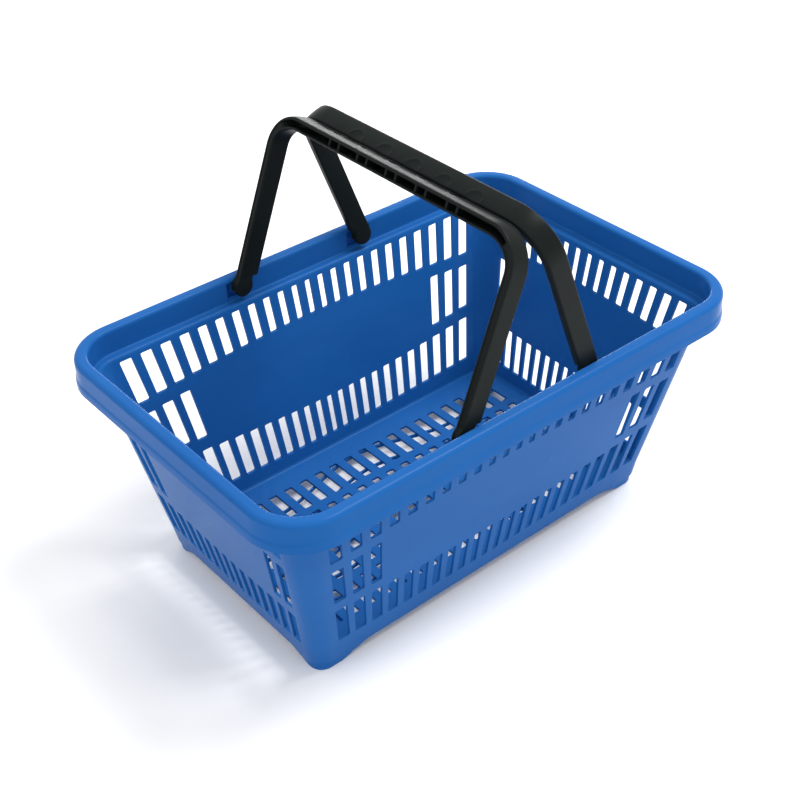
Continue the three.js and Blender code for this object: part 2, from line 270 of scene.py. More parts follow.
def moulding_tree() -> Tree:
    """Return the tree that cuts the slots of a moulded sheet and gives the sheet its wall.

    The sheet is the back face of the moulding. Its points carry where the front face lies, as a lift for each
    unit of wall, and its faces say whether they are openings.
    """
    tree = Tree("moulded_sheet")
    sheet = tree.takes("Sheet", "NodeSocketGeometry")
    wall = tree.takes("Wall thickness", value=2.5 * MM)
    weld = tree.takes("Weld distance", value=0.00002)
    plastic = tree.takes("Plastic", "NodeSocketMaterial")
    opening = tree.add("GeometryNodeInputNamedAttribute", {"Name": "opening"}, data_type="BOOLEAN")
    cut = tree.add("GeometryNodeDeleteGeometry", {
        "Geometry": sheet, "Selection": opening.outputs["Attribute"]}, domain="FACE", mode="ALL")
    raised = tree.add("GeometryNodeExtrudeMesh", {
        "Mesh": cut.outputs[0], "Offset Scale": 0.0, "Individual": False}, mode="FACES")
    lift = tree.add("GeometryNodeInputNamedAttribute", {"Name": "lift"}, data_type="FLOAT_VECTOR")
    offset = tree.add(
        "ShaderNodeVectorMath", {0: lift.outputs["Attribute"], "Scale": wall}, operation="SCALE")
    front = tree.add("GeometryNodeSetPosition", {
        "Geometry": raised.outputs["Mesh"], "Selection": raised.outputs["Top"],
        "Offset": offset.outputs["Vector"]})
    back = tree.add("GeometryNodeFlipFaces", {"Mesh": cut.outputs[0]})
    both = tree.add("GeometryNodeJoinGeometry", {0: front.outputs[0]})
    tree.group.links.new(back.outputs[0], both.inputs[0])
    closed = tree.add("GeometryNodeMergeByDistance", {"Geometry": both.outputs[0], "Distance": weld})
    return tree.ends("Moulding", closed, plastic)


def rib_line_tree() -> Tree:
    """Return the tree that runs a straight-sided rib along each drawn line."""
    tree = Tree("ribs_on_lines")
    lines = tree.takes("Lines", "NodeSocketGeometry")
    thickness = tree.takes("Rib thickness", value=2 * MM)
    depth = tree.takes("Rib depth", value=3 * MM)
    plastic = tree.takes("Plastic", "NodeSocketMaterial")
    curves = tree.add("GeometryNodeMeshToCurve", {"Mesh": lines})
    upright = tree.add("GeometryNodeSetCurveNormal", {"Curve": curves.outputs[0]}, mode="Z_UP")
    section = tree.add("GeometryNodeCurvePrimitiveQuadrilateral", {"Width": thickness, "Height": depth})
    ribs = tree.add("GeometryNodeCurveToMesh", {
        "Curve": upright.outputs[0], "Profile Curve": section.outputs[0], "Fill Caps": True})
    return tree.ends("Ribs", ribs, plastic)


def rib_pair_tree() -> Tree:
    """Return the tree that repeats a pair of ribs at an even pitch along a grip."""
    tree = Tree("grip_rib_pairs")
    rib = tree.takes("Rib", "NodeSocketGeometry")
    pairs = tree.takes("Pairs", "NodeSocketInt", 5)
    pitch = tree.takes("Pitch", value=34.5 * MM)
    gap = tree.takes("Half gap", value=5.6 * MM)
    plastic = tree.takes("Plastic", "NodeSocketMaterial")
    reach = tree.math("MULTIPLY", tree.math("SUBTRACT", pairs, 1.0), pitch)
    half = tree.math("MULTIPLY", reach, -0.5)
    step = tree.add("ShaderNodeCombineXYZ", {"Y": pitch})
    rows = tree.add("GeometryNodeJoinGeometry")
    for direction in (-1.0, 1.0):
        start = tree.add("ShaderNodeCombineXYZ", {"Y": tree.math("MULTIPLY_ADD", gap, direction, half)})
        row = tree.add("GeometryNodeMeshLine", {
            "Count": pairs, "Start Location": start.outputs[0], "Offset": step.outputs[0]}, mode="OFFSET")
        tree.group.links.new(row.outputs[0], rows.inputs[0])
    placed = tree.add("GeometryNodeInstanceOnPoints", {"Points": rows.outputs[0], "Instance": rib})
    return tree.ends("Ribs", placed, plastic)


# ---- Meshes -------------------------------------------------------------------------------------------


def new_piece(name: str, points: Sequence[Point], faces: Sequence[Sequence[int]],
              edges: Sequence[Sequence[int]] = ()) -> bpy.types.Object:
    """Make a piece from points in millimetres.

    Args:
        name: Name of the piece.
        points: Points in the basket's frame.
        faces: Corner numbers of each face.
        edges: Loose edges, for drawn lines.

    Returns:
        The new object, at the origin.
    """
    mesh = bpy.data.meshes.new(name)
    mesh.from_pydata([Vector(p) * MM for p in points], list(edges), list(faces))
    mesh.update()
    piece = bpy.data.objects.new(name, mesh)
    bpy.context.scene.collection.objects.link(piece)
    return piece


def outward(piece: bpy.types.Object) -> bpy.types.Object:
    """Turn every face of a closed piece outwards."""
    work = bmesh.new()
    work.from_mesh(piece.data)
    bmesh.ops.recalc_face_normals(work, faces=work.faces)
    work.to_mesh(piece.data)
    work.free()
    return piece


def softened(piece: bpy.types.Object, width: float, angle: float = 50.0,
             segments: int = 2) -> bpy.types.Object:
    """Round a piece's sharp edges, mark them for wear and smooth its shading.

    Args:
        piece: The piece.
        width: Width of the rounding, in millimetres.
        angle: Edges sharper than this many degrees are rounded.
        segments: Steps across the rounding.

    Returns:
        The same piece.
    """
    mesh = piece.data
    mesh.shade_smooth()
    plastic = next(made for made in mesh.materials if made)
    mesh.materials.clear()
    mesh.materials.append(plastic)
    mesh.materials.append(plastic)
    mesh.polygons.foreach_set("material_index", [0] * len(mesh.polygons))
    bevel = piece.modifiers.new("edge_rounding", "BEVEL")
    bevel.width = width * MM
    bevel.segments = segments
    bevel.limit_method = "ANGLE"
    bevel.angle_limit = math.radians(angle)
    bevel.material = 1
    weighted = piece.modifiers.new("even_shading", "WEIGHTED_NORMAL")
    weighted.keep_sharp = True
    baked(piece)
    worn = piece.data.attributes.new("edge", "FLOAT", "FACE")
    for polygon in piece.data.polygons:
        if polygon.material_index:
            worn.data[polygon.index].value = 1.0
            polygon.material_index = 0
    piece.data.materials.pop(index=-1)
    return piece


def settled(piece: bpy.types.Object, body: Body, nodes: Sequence[str] = ()) -> None:
    """Put a finished piece on its body and in place of its plain solids.

    Args:
        piece: The finished piece.
        body: Body that it rides on.
        nodes: Plain solids that it stands for.
    """
    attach(piece, body.value)
    if nodes:
        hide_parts(*nodes)
    LOG.info("%s rides on %s: %d faces", piece.name, body.value, len(piece.data.polygons))


# ---- Finishes -----------------------------------------------------------------------------------------


class Effects:
    """The surface effects that the plastics share, each a shader node group made once."""

    def __init__(self) -> None:
        """Build every group."""
        self.grain = self._grain()
        self.flow = self._flow()
        self.scuffs = self._scuffs()
        self.wear = self._wear()
        self.dust = self._dust()

    @staticmethod
    def _noise(
        tree: Tree, scale: Any, stretch: Point = (1.0, 1.0, 1.0), **shape: float
    ) -> bpy.types.NodeSocket:
        """Return a noise fixed to the piece.

        Args:
            tree: Tree that gets it.
            scale: Its scale, a number or a socket.
            stretch: How much finer it is along each axis.
            shape: Other inputs of the noise, by name.

        Returns:
            The socket of its strength.
        """
        place = tree.add("ShaderNodeTexCoord")
        mapped = tree.add("ShaderNodeMapping", {"Vector": place.outputs["Object"], "Scale": stretch})
        noise = tree.add("ShaderNodeTexNoise", {"Vector": mapped.outputs[0], "Scale": scale, **shape})
        return noise.outputs["Fac"]

    @staticmethod
    def _spread(tree: Tree, source: bpy.types.NodeSocket, low: Any, high: Any,
                floor: float = 0.0) -> bpy.types.NodeSocket:
        """Stretch what lies between low and high over the range from floor to 1."""
        return tree.add("ShaderNodeMapRange", {
            "Value": source, "From Min": low, "From Max": high, "To Min": floor}).outputs[0]

    def _grain(self) -> bpy.types.NodeTree:
        """Return the fine spark-eroded grain that the mould leaves, over slow waves in the wall."""
        tree = Tree("moulded_grain", "ShaderNodeTree")
        fine = self._noise(tree, tree.takes("Scale", value=900.0), Detail=3.0, Roughness=0.6)
        slow = self._noise(tree, 22.0, Detail=2.0)
        tree.gives("Height", tree.math("MULTIPLY_ADD", slow, 1.6, fine))
        return tree.group

    def _flow(self) -> bpy.types.NodeTree:
        """Return the slow change of tone where the plastic ran into the mould."""
        tree = Tree("mould_flow", "ShaderNodeTree")
        scale = tree.takes("Scale", value=7.0)
        waves = self._noise(tree, scale, (1.0, 1.0, 2.4), Detail=4.0, Distortion=0.8)
        tree.gives("Mask", self._spread(tree, waves, 0.32, 0.68))
        return tree.group

    def _scuffs(self) -> bpy.types.NodeTree:
        """Return fine rubbed streaks from handling and stacking."""
        tree = Tree("stacking_scuffs", "ShaderNodeTree")
        scale = tree.takes("Scale", value=60.0)
        cover = tree.takes("Cover", value=0.5)
        streaks = self._noise(tree, scale, (1.0, 1.0, 0.14), Detail=6.0, Roughness=0.7)
        patches = self._noise(tree, 9.0, Detail=2.0)
        rubbed = tree.math("MULTIPLY", streaks, patches)
        low, high = (tree.math("SUBTRACT", level, cover) for level in (0.80, 0.94))
        tree.gives("Mask", self._spread(tree, rubbed, low, high))
        return tree.group

    def _wear(self) -> bpy.types.NodeTree:
        """Return the broken lightening along rounded edges."""
        tree = Tree("edge_wear", "ShaderNodeTree")
        amount = tree.takes("Amount", value=0.5)
        edge = tree.add("ShaderNodeAttribute", attribute_name="edge").outputs["Fac"]
        broken = self._spread(tree, self._noise(tree, 130.0, Detail=4.0), 0.35, 0.65, 0.35)
        tree.gives("Mask", tree.math("MULTIPLY", tree.math("MULTIPLY", edge, broken), amount))
        return tree.group

    def _dust(self) -> bpy.types.NodeTree:
        """Return the thin dust that settles on faces that look up."""
        tree = Tree("settled_dust", "ShaderNodeTree")
        amount = tree.takes("Amount", value=0.1)
        facing = tree.add("ShaderNodeNewGeometry").outputs["Normal"]
        upward = self._spread(tree, tree.add("ShaderNodeSeparateXYZ", {0: facing}).outputs["Z"], 0.55, 1.0)
        motes = self._noise(tree, 45.0, Detail=5.0)
        tree.gives("Mask", tree.math("MULTIPLY", tree.math("MULTIPLY", upward, motes), amount))
        return tree.group


@dataclass(frozen=True)
class PlasticFinish:
    """A moulded plastic: its colours, gloss, grain and signs of use."""

    name: str
    base: Color
    deep: Color
    worn: Color
    roughness: float
    scuffed_roughness: float
    specular: float
    grain_scale: float
    grain_depth: float
    wear: float
    dust: float
    scuff_cover: float
    flow_scale: float = 7.0
    scuff_scale: float = 60.0
    dust_color: Color = (0.55, 0.55, 0.53)

    def material(self, effects: Effects) -> bpy.types.Material:
        """Build the material.

        Args:
            effects: The shared surface effects.

        Returns:
            The new material.
        """
        made = bpy.data.materials.new(self.name)
        made.use_nodes = True
        tree = made.node_tree
        shader = tree.nodes["Principled BSDF"]
        shader.inputs["Specular IOR Level"].default_value = self.specular

        def effect(group: bpy.types.NodeTree, **values: float) -> bpy.types.NodeSocket:
            """Place a shared group with its own values and return its output."""
            return add_node(tree, "ShaderNodeGroup", values, node_tree=group).outputs[0]

        def tinted(under: Any, over: Color, mask: bpy.types.NodeSocket) -> bpy.types.NodeSocket:
            """Lay a colour over another where the mask says."""
            node = add_node(tree, "ShaderNodeMix", {0: mask}, data_type="RGBA")
            if isinstance(under, bpy.types.NodeSocket):
                tree.links.new(under, node.inputs[6])
            else:
                node.inputs[6].default_value = (*under, 1.0)
            node.inputs[7].default_value = (*over, 1.0)
            return node.outputs[2]

        colour = tinted(self.base, self.deep, effect(effects.flow, Scale=self.flow_scale))
        colour = tinted(colour, self.worn, effect(effects.wear, Amount=self.wear))
        colour = tinted(colour, self.dust_color, effect(effects.dust, Amount=self.dust))
        tree.links.new(colour, shader.inputs["Base Color"])
        scuffs = effect(effects.scuffs, Scale=self.scuff_scale, Cover=self.scuff_cover)
        rough = add_node(tree, "ShaderNodeMapRange", {
            "Value": scuffs, "To Min": self.roughness, "To Max": self.scuffed_roughness})
        tree.links.new(rough.outputs[0], shader.inputs["Roughness"])
        bump = add_node(tree, "ShaderNodeBump", {
            "Height": effect(effects.grain, Scale=self.grain_scale), "Distance": self.grain_depth * MM,
            "Strength": 1.0})
        tree.links.new(bump.outputs[0], shader.inputs["Normal"])
        return made


@dataclass(frozen=True)
class PaleFloorFinish:
    """The plain pale floor that the basket stands on."""

    tone: float = 0.93
    unevenness: float = 0.01
    roughness: float = 0.9
    specular: float = 0.1

    def material(self) -> bpy.types.Material:
        """Build the material of the floor."""
        made = bpy.data.materials.new("pale_floor")
        made.use_nodes = True
        tree = made.node_tree
        shader = tree.nodes["Principled BSDF"]
        place = add_node(tree, "ShaderNodeTexCoord")
        cloud = add_node(tree, "ShaderNodeTexNoise", {"Vector": place.outputs["Object"], "Scale": 3.0})
        tone = add_node(tree, "ShaderNodeMapRange", {
            "Value": cloud.outputs["Fac"], "To Min": self.tone - self.unevenness,
            "To Max": self.tone + self.unevenness})
        tree.links.new(tone.outputs[0], shader.inputs["Base Color"])
        shader.inputs["Roughness"].default_value = self.roughness
        shader.inputs["Specular IOR Level"].default_value = self.specular
        return made


BLUE = PlasticFinish(
    "blue_tub_plastic", base=(0.012, 0.108, 0.357), deep=(0.010, 0.096, 0.330), worn=(0.018, 0.126, 0.390),
    roughness=0.22, scuffed_roughness=0.34, specular=0.05, grain_scale=900.0, grain_depth=0.012,
    wear=0.20, dust=0.012, scuff_cover=0.45)
BLACK = PlasticFinish(
    "black_handle_plastic", base=(0.0085, 0.0115, 0.0110), deep=(0.0068, 0.0094, 0.0090),
    worn=(0.018, 0.023, 0.022), roughness=0.34, scuffed_roughness=0.46, specular=0.06, grain_scale=1300.0,
    grain_depth=0.03, wear=0.25, dust=0.006, scuff_cover=0.5)


# ---- Tub ----------------------------------------------------------------------------------------------


def turned(point: Point, quarters: int) -> Point:
    """Return a point after a number of quarter turns about the vertical axis."""
    x, y, z = point
    for _ in range(quarters % 4):
        x, y = -y, x
    return (x, y, z)


@dataclass(frozen=True)
class Outline:
    """A rounded rectangle at one height, walked round in four sides and four corners.

    Side 0 is the near one, and the others follow it by quarter turns.
    """

    half_x: float
    half_y: float
    radius: float
    height: float

    def half(self, side: int) -> float:
        """Return half the length of a side."""
        return self.half_x if side % 2 == 0 else self.half_y

    def flat(self, side: int) -> float:
        """Return half the length of the straight part of a side."""
        return self.half(side) - self.radius

    def on_side(self, side: int, along: float) -> Point:
        """Return the point at a distance along a side from its middle."""
        return turned((along, -self.half(side + 1), self.height), side)

    def on_corner(self, side: int, turn: float) -> Point:
        """Return the point part of the way round the corner that follows a side, at a turn in radians."""
        x = self.flat(side) + self.radius * math.sin(turn)
        y = -self.flat(side + 1) - self.radius * math.cos(turn)
        return turned((x, y, self.height), side)


@dataclass(frozen=True)
class SlotRun:
    """How the slots are spread along a wall."""

    columns: int
    middle_columns: int
    spread: float
    pitch: float = 14.0
    width: float = 6.0
    width_step: float = 0.5

    @property
    def end(self) -> float:
        """Return the column coordinate of the end of the wall."""
        return self.columns + 0.5

    def centre(self, column: int) -> float:
        """Return where a slot's middle line is at the height that the pitch holds at."""
        return self.pitch * column + self.spread * column * abs(column)

    def wide(self, column: int) -> float:
        """Return the width of a slot."""
        return self.width + self.width_step * abs(column)

    def between(self, column: float, scale: float) -> float:
        """Return the middle of the bar at a half-way column coordinate.

        Args:
            column: Column coordinate, half way between two slots.
            scale: How far the columns have drawn together at that height.

        Returns:
            Distance from the middle of the wall.
        """
        left = math.floor(column)
        right = left + 1
        middle = (self.centre(left) + self.centre(right)) / 2
        return middle * scale + (self.wide(left) - self.wide(right)) / 4


@dataclass(frozen=True)
class Station:
    """A place on the way round the tub: a column of a wall, or a turn round the corner after it."""

    side: int
    column: float
    turn: float = 0.0


@dataclass
class Sheet:
    """The back face of a moulding: points with their lift to the front face, faces and openings."""

    wall: float = 2.5
    points: list[Point] = field(default_factory=list)
    lifts: list[Point] = field(default_factory=list)
    faces: list[tuple[int, ...]] = field(default_factory=list)
    openings: list[bool] = field(default_factory=list)

    def add(self, back: Point, front: Point) -> int:
        """Add a point of the back face with its partner on the front face, and return its number."""
        self.points.append(back)
        self.lifts.append(tuple((f - b) / self.wall for f, b in zip(front, back)))
        return len(self.points) - 1

    def face(self, corners: Sequence[int], opening: bool = False) -> None:
        """Add a face that looks towards the front, and say whether it is an opening."""
        self.faces.append(tuple(corners))
        self.openings.append(opening)

    def slotted(self, corners: Sequence[int], chain: Sequence[int], hole: Sequence[int]) -> None:
        """Fill a four-cornered cell with a rounded hole in it.

        Args:
            corners: The cell's corners, anticlockwise as seen from the back.
            chain: Extra points along the cell's first edge.
            hole: Points of the hole, three for each corner, in the same order.
        """
        groups = [hole[3 * i:3 * i + 3] for i in range(4)]
        for i, corner in enumerate(corners):
            ahead = (i + 1) % 4
            first, middle, last = groups[i]
            self.face((corner, middle, last))
            self.face((corner, first, middle))
            extra = tuple(reversed(chain)) if i == 0 else ()
            self.face((corner, last, groups[ahead][0], corners[ahead], *extra))
        self.face(tuple(reversed(hole)), opening=True)

    def piece(self, name: str, tree: Tree, plastic: bpy.types.Material) -> bpy.types.Object:
        """Cut the openings, give the sheet its wall and return the closed moulding."""
        piece = new_piece(name, self.points, self.faces)
        lift = piece.data.attributes.new("lift", "FLOAT_VECTOR", "POINT")
        lift.data.foreach_set("vector", [c for lift_of in self.lifts for c in lift_of])
        opening = piece.data.attributes.new("opening", "BOOLEAN", "FACE")
        opening.data.foreach_set("value", self.openings)
        grown(piece, tree, {"Wall thickness": self.wall * MM, "Plastic": plastic})
        for extra in ("lift", "opening"):
            if extra in piece.data.attributes:
                piece.data.attributes.remove(piece.data.attributes[extra])
        return piece


@dataclass
class Tub:
    """The blue tub: drafted slotted walls, a stepped and hooked rim, a slotted floor and four feet."""

    plastic: bpy.types.Material
    tree: Tree
    rim_half_length: float = 240.0
    rim_half_width: float = 157.5
    height: float = 209.0
    rim_radius: float = 46.0
    rim_depth: float = 11.5
    skirt: float = 26.0
    ledge: float = 186.5
    base_half_length: float = 187.0
    base_half_width: float = 106.5
    base_level: float = 10.6
    base_radius: float = 16.0
    wall_top: float = 183.4
    top_radius: float = 23.0
    draft: float = 0.1975
    wall: float = 2.5
    layout_level: float = 163.0
    slot_rounding: float = 1.3
    corner_steps: int = 12
    long_run: SlotRun = SlotRun(11, 3, 0.255)
    short_run: SlotRun = SlotRun(7, 2, 0.19)
    bend: float = 0.6
    cove: float = 1.5
    cap_radius: float = 4.6
    pivot: float = 66.0
    window_half: float = 13.0
    window_column: float = 4.5
    window_low: float = 190.5
    window_high: float = 205.0
    foot_setback: float = 4.7
    foot_reaches: tuple[float, float] = (46.0, 30.0)
    foot_dip: float = 5.0
    corner_drop: float = 0.9
    foot_levels: tuple[tuple[float, float, float, float], ...] = (
        (3.6, 40.0, 28.0, 13.3), (1.1, 45.0, 31.5, 13.0), (0.9, 44.0, 30.5, 10.6), (0.4, 39.5, 26.5, 7.6),
        (-0.1, 35.0, 23.5, 4.6), (-0.1, 30.5, 20.5, 2.4), (0.1, 27.5, 18.5, 0.9), (0.5, 25.0, 17.0, 0.2),
        (1.3, 23.0, 15.5, 0.0))
    floor_top: float = 16.0
    floor_columns: int = 20
    floor_pitch: float = 17.2
    floor_slot: float = 8.5
    floor_lines: tuple[float, ...] = (-86.5, -45.0, 0.0, 45.0, 86.5)
    floor_rows: tuple[tuple[float, float], ...] = ((-82, -49), (-41, -5), (5, 41), (49, 82))
    floor_cove: float = 3.0
    rib_level: float = 11.9
    rib_thickness: float = 1.8
    rib_depth: float = 3.4
    rib_spacing: float = 24.0
    wave_height: float = 11.0
    wave_half_length: float = 104.0
    lows: dict[int, int] = field(default_factory=dict)

    def run(self, side: int) -> SlotRun:
        """Return how the slots are spread on a side."""
        return self.long_run if side % 2 == 0 else self.short_run

    def wall_line(self, height: float, inset: float = 0.0) -> Outline:
        """Return the walls' outer outline at a height, or one that lies inside it."""
        rise = height - self.base_level
        radius = mix(self.base_radius, self.top_radius, rise / (self.wall_top - self.base_level))
        grow = self.draft * rise - inset
        return Outline(self.base_half_length + grow, self.base_half_width + grow, radius - inset, height)

    def rim_line(self, inset: float, height: float) -> Outline:
        """Return the outline at a distance in from the skirt's outer face."""
        half_x, half_y = self.rim_half_length - inset, self.rim_half_width - inset
        return Outline(half_x, half_y, self.rim_radius - inset, height)

    def stations(self) -> list[Station]:
        """Return the places on the way round: every bar between slots, and steps round each corner."""
        places = []
        for side in range(4):
            end = self.run(side).end
            count = round(2 * end)
            places += [Station(side, i - end) for i in range(count + 1)]
            turns = [i / self.corner_steps * math.pi / 2 for i in range(1, self.corner_steps)]
            places += [Station(side, end, turn) for turn in turns]
        return places

    def bow_at(self, column: float) -> float:
        """Return how far the rows of slots bow at a column."""
        return (column / self.long_run.columns) ** 2

    def bow(self, place: Station) -> float:
        """Return how far the rows of slots bow at a place, from 0 at the middle of a long wall to about 1."""
        here = self.bow_at(place.column)
        if place.turn == 0:
            return here
        return mix(here, self.bow_at(self.run(place.side + 1).end), place.turn / (math.pi / 2))

    def row_lines(self, bow: float) -> list[float]:
        """Return the heights of the lines between the rows of slots."""
        return [20.5 + 4.5 * bow, 71 + 10 * bow, 143.5 - 10 * bow, self.wall_top]

    def slot_rows(self, column: int, run: SlotRun) -> list[tuple[float, float] | None]:
        """Return the low and high end of each row's slot in a column, or nothing where the wall is plain."""
        bow = self.bow_at(column)
        middle = (76.5 + 10 * bow, 138 - 10 * bow) if abs(column) > run.columns - run.middle_columns else None
        return [(28 + 5 * bow, 65.5 + 10 * bow), middle, (149 - 10 * bow, 181.0)]

    def scale(self, side: int, height: float) -> float:
        """Return how far the slot columns have drawn together at a height."""
        return self.wall_line(height).half(side) / self.wall_line(self.layout_level).half(side)

    def wall_place(self, place: Station, line: Outline) -> Point:
        """Return a place on an outline of the walls."""
        if place.turn:
            return line.on_corner(place.side, place.turn)
        run = self.run(place.side)
        if abs(place.column) >= run.end:
            return line.on_side(place.side, math.copysign(line.flat(place.side), place.column))
        return line.on_side(place.side, run.between(place.column, self.scale(place.side, line.height)))

    def rim_place(self, place: Station, line: Outline) -> Point:
        """Return a place on an outline of the rim, with the handle windows between fixed marks."""
        if place.turn:
            return line.on_corner(place.side, place.turn)
        end = self.run(place.side).end
        marks = [(0.0, 0.0), (end, line.flat(place.side))]
        if place.side % 2 == 0:
            marks[1:1] = [(self.window_column + i, self.pivot + i * self.window_half) for i in (-1, 0, 1)]
        return line.on_side(place.side, math.copysign(along_marks(marks, abs(place.column)), place.column))

    def rim_profile(self) -> list[tuple[Outline, Outline]]:
        """Return the back and front outlines from the foot of the ledge, over the rim and down to the hem."""
        front_bend = self.bend + self.wall
        shoulder = (-self.bend, self.wall_top)
        fronts = arc(shoulder, front_bend, 0, 90, 4)
        backs = arc(shoulder, self.bend, 0, 90, 4)
        pairs = [(self._shoulder_line(*b), self._shoulder_line(*f)) for b, f in zip(backs, fronts)]
        band, cap, cove = self.rim_depth, self.cap_radius, self.cove
        bends = [
            ((band + cove, self.ledge + cove), cove + self.wall, cove, 270, 180, 3),
            ((band - front_bend, self.height - front_bend), self.bend, front_bend, 0, 90, 5),
            ((cap, self.height - cap), cap - self.wall, cap, 90, 180, 7),
        ]
        for index, (centre, back_radius, front_radius, start, end, steps) in enumerate(bends):
            backs = arc(centre, back_radius, start, end, steps)
            fronts = arc(centre, front_radius, start, end, steps)
            pairs += [(self.rim_line(*b), self.rim_line(*f)) for b, f in zip(backs, fronts)]
            if index == 0:
                levels = (self.window_low, self.window_high)
                pairs += [(self.rim_line(band - self.wall, z), self.rim_line(band, z)) for z in levels]
        flare = [(0.0, 192.0), (-0.5, 190.6), (-1.0, 189.4), (-1.1, 186.5), (-1.1, self.height - self.skirt)]
        pairs += [(self.rim_line(self.wall + x, z), self.rim_line(x, z)) for x, z in flare]
        return pairs

    def _shoulder_line(self, inset: float, height: float) -> Outline:
        """Return an outline set in from the top edge of the walls."""
        top = self.wall_line(self.wall_top)
        return Outline(top.half_x - inset, top.half_y - inset, top.radius - inset, height)

    def edge_height(self, side: int, line_point: Point) -> float:
        """Return the height of the walls' bottom edge, which dips towards each foot and rises at the corner.

        Args:
            side: Number of the side.
            line_point: Point above the place, on the walls' outline.

        Returns:
            The height, in millimetres.
        """
        x, y, _ = line_point
        from_foot_x = max(0.0, self.base_half_length - abs(x) - self.foot_setback) / self.foot_reaches[0]
        from_foot_y = max(0.0, self.base_half_width - abs(y) - self.foot_setback) / self.foot_reaches[1]
        share = from_foot_y if side % 2 else from_foot_x
        if share == 0.0:
            share = max(from_foot_x, from_foot_y) * 0.5
        dip = eased(0.0, 0.62, share) - eased(0.62, 1.05, share)
        return self.base_level - self.corner_drop * (1 - eased(0.0, 1.0, share)) - self.foot_dip * dip

    def shell(self) -> Sheet:
        """Return the sheet of the walls and the rim."""
        sheet = Sheet(self.wall)
        places = self.stations()
        profile = self.rim_profile()
        lean = self.wall * math.sqrt(1 + self.draft ** 2)
        columns = []
        for place in places:
            column = []
            for height in self.row_lines(self.bow(place))[:-1]:
                back = self.wall_place(place, self.wall_line(height))
                front = self.wall_place(place, self.wall_line(height, lean))
                column.append(sheet.add(back, (*front[:2], height)))
            for index, (back_line, front_line) in enumerate(profile):
                locate = self._shoulder_place if index < 5 else self.rim_place
                column.append(sheet.add(locate(place, back_line), locate(place, front_line)))
            columns.append(column)
        rows = len(columns[0])
        wall_rows = rows - len(profile)
        window = wall_rows + [front.height for _, front in profile].index(self.window_low)
        around = list(zip(places, columns, [*places[1:], places[0]], [*columns[1:], columns[0]]))
        for place, here, _, there in around:
            chain = self._bottom_strip(sheet, place, here[0], there[0], lean)
            for row in range(rows - 1):
                corners = (here[row], there[row], there[row + 1], here[row + 1])
                extra = chain if row == 0 else ()
                slot = self._slot_of(place, row)
                if slot:
                    sheet.slotted(corners, extra, self._hole(sheet, place, slot, lean))
                    continue
                opening = row == window and self._under_lug(place)
                sheet.face((corners[0], corners[3], corners[2], corners[1], *reversed(extra)), opening)
        return sheet

    def _under_lug(self, place: Station) -> bool:
        """Say whether the stretch that starts at a place is one of the two in a window under a handle lug."""
        middle = abs(place.column + 0.5)
        return place.side % 2 == 0 and place.turn == 0 and abs(middle - self.window_column) < 0.6

    def _shoulder_place(self, place: Station, line: Outline) -> Point:
        """Return a place on the rounded shoulder at the top of the walls."""
        if place.turn:
            return line.on_corner(place.side, place.turn)
        top = self.wall_line(self.wall_top)
        along = self.wall_place(place, top)
        wanted = turned(along, -place.side % 4)[0]
        if abs(place.column) >= self.run(place.side).end:
            wanted = math.copysign(line.flat(place.side), place.column)
        return line.on_side(place.side, wanted)

    def _slot_of(self, place: Station, row: int) -> tuple[int, float, float] | None:
        """Return the slot in the cell that starts at a place: its column, low end and high end."""
        run = self.run(place.side)
        if place.turn or place.column >= run.end or row > 2:
            return None
        column = round(place.column + 0.5)
        ends = self.slot_rows(column, run)[row]
        return (column, *ends) if ends else None

    def _hole(self, sheet: Sheet, place: Station, slot: tuple[int, float, float], lean: float) -> list[int]:
        """Add the twelve points of a slot with rounded corners.

        Args:
            sheet: Sheet that gets the points.
            place: Start of the slot's cell.
            slot: Column, low end and high end.
            lean: Thickness of the leaning wall, measured level.

        Returns:
            Their numbers, anticlockwise as seen from outside, three for each corner.
        """
        column, low, high = slot
        side = place.side
        run = self.run(side)
        round_off = self.slot_rounding
        cut = 0.29 * round_off

        def at(edge: int, inward: float, height: float) -> int:
            """Add a point at a distance in from one edge of the slot."""
            along = run.centre(column) * self.scale(side, height) + edge * (run.wide(column) / 2 - inward)
            back = self.wall_line(height).on_side(side, along)
            return sheet.add(back, self.wall_line(height, lean).on_side(side, along))

        return [
            at(-1, 0, low + round_off), at(-1, cut, low + cut), at(-1, round_off, low),
            at(1, round_off, low), at(1, cut, low + cut), at(1, 0, low + round_off),
            at(1, 0, high - round_off), at(1, cut, high - cut), at(1, round_off, high),
            at(-1, round_off, high), at(-1, cut, high - cut), at(-1, 0, high - round_off),
        ]

    def _bottom_strip(self, sheet: Sheet, place: Station, here: int, there: int, lean: float) -> list[int]:
        """Add the strip under the slots, finely stepped, with its shaped bottom edge.

        Args:
            sheet: Sheet that gets the strip.
            place: Start of the stretch.
            here: Point at its start, on the line under the slots.
            there: Point at its end.
            lean: Thickness of the leaning wall, measured level. Not used.

        Returns:
            The numbers of the points added between the two on that line.
        """
        steps = 1 if place.turn or place.column >= self.run(place.side).end else 4
        start, end = Vector(sheet.points[here]), Vector(sheet.points[there])
        thick = Vector(sheet.lifts[here]) * self.wall
        thick_end = Vector(sheet.lifts[there]) * self.wall
        tops = [here]
        for i in range(1, steps):
            share = i / steps
            back = start.lerp(end, share)
            tops.append(sheet.add(tuple(back), tuple(back + thick.lerp(thick_end, share))))
        tops.append(there)
        lows = [self._low_point(sheet, place.side, top, lean) for top in tops]
        for (a, b), (c, d) in zip(pairwise(tops), pairwise(lows)):
            sheet.face((c, a, b, d))
        return tops[1:-1]

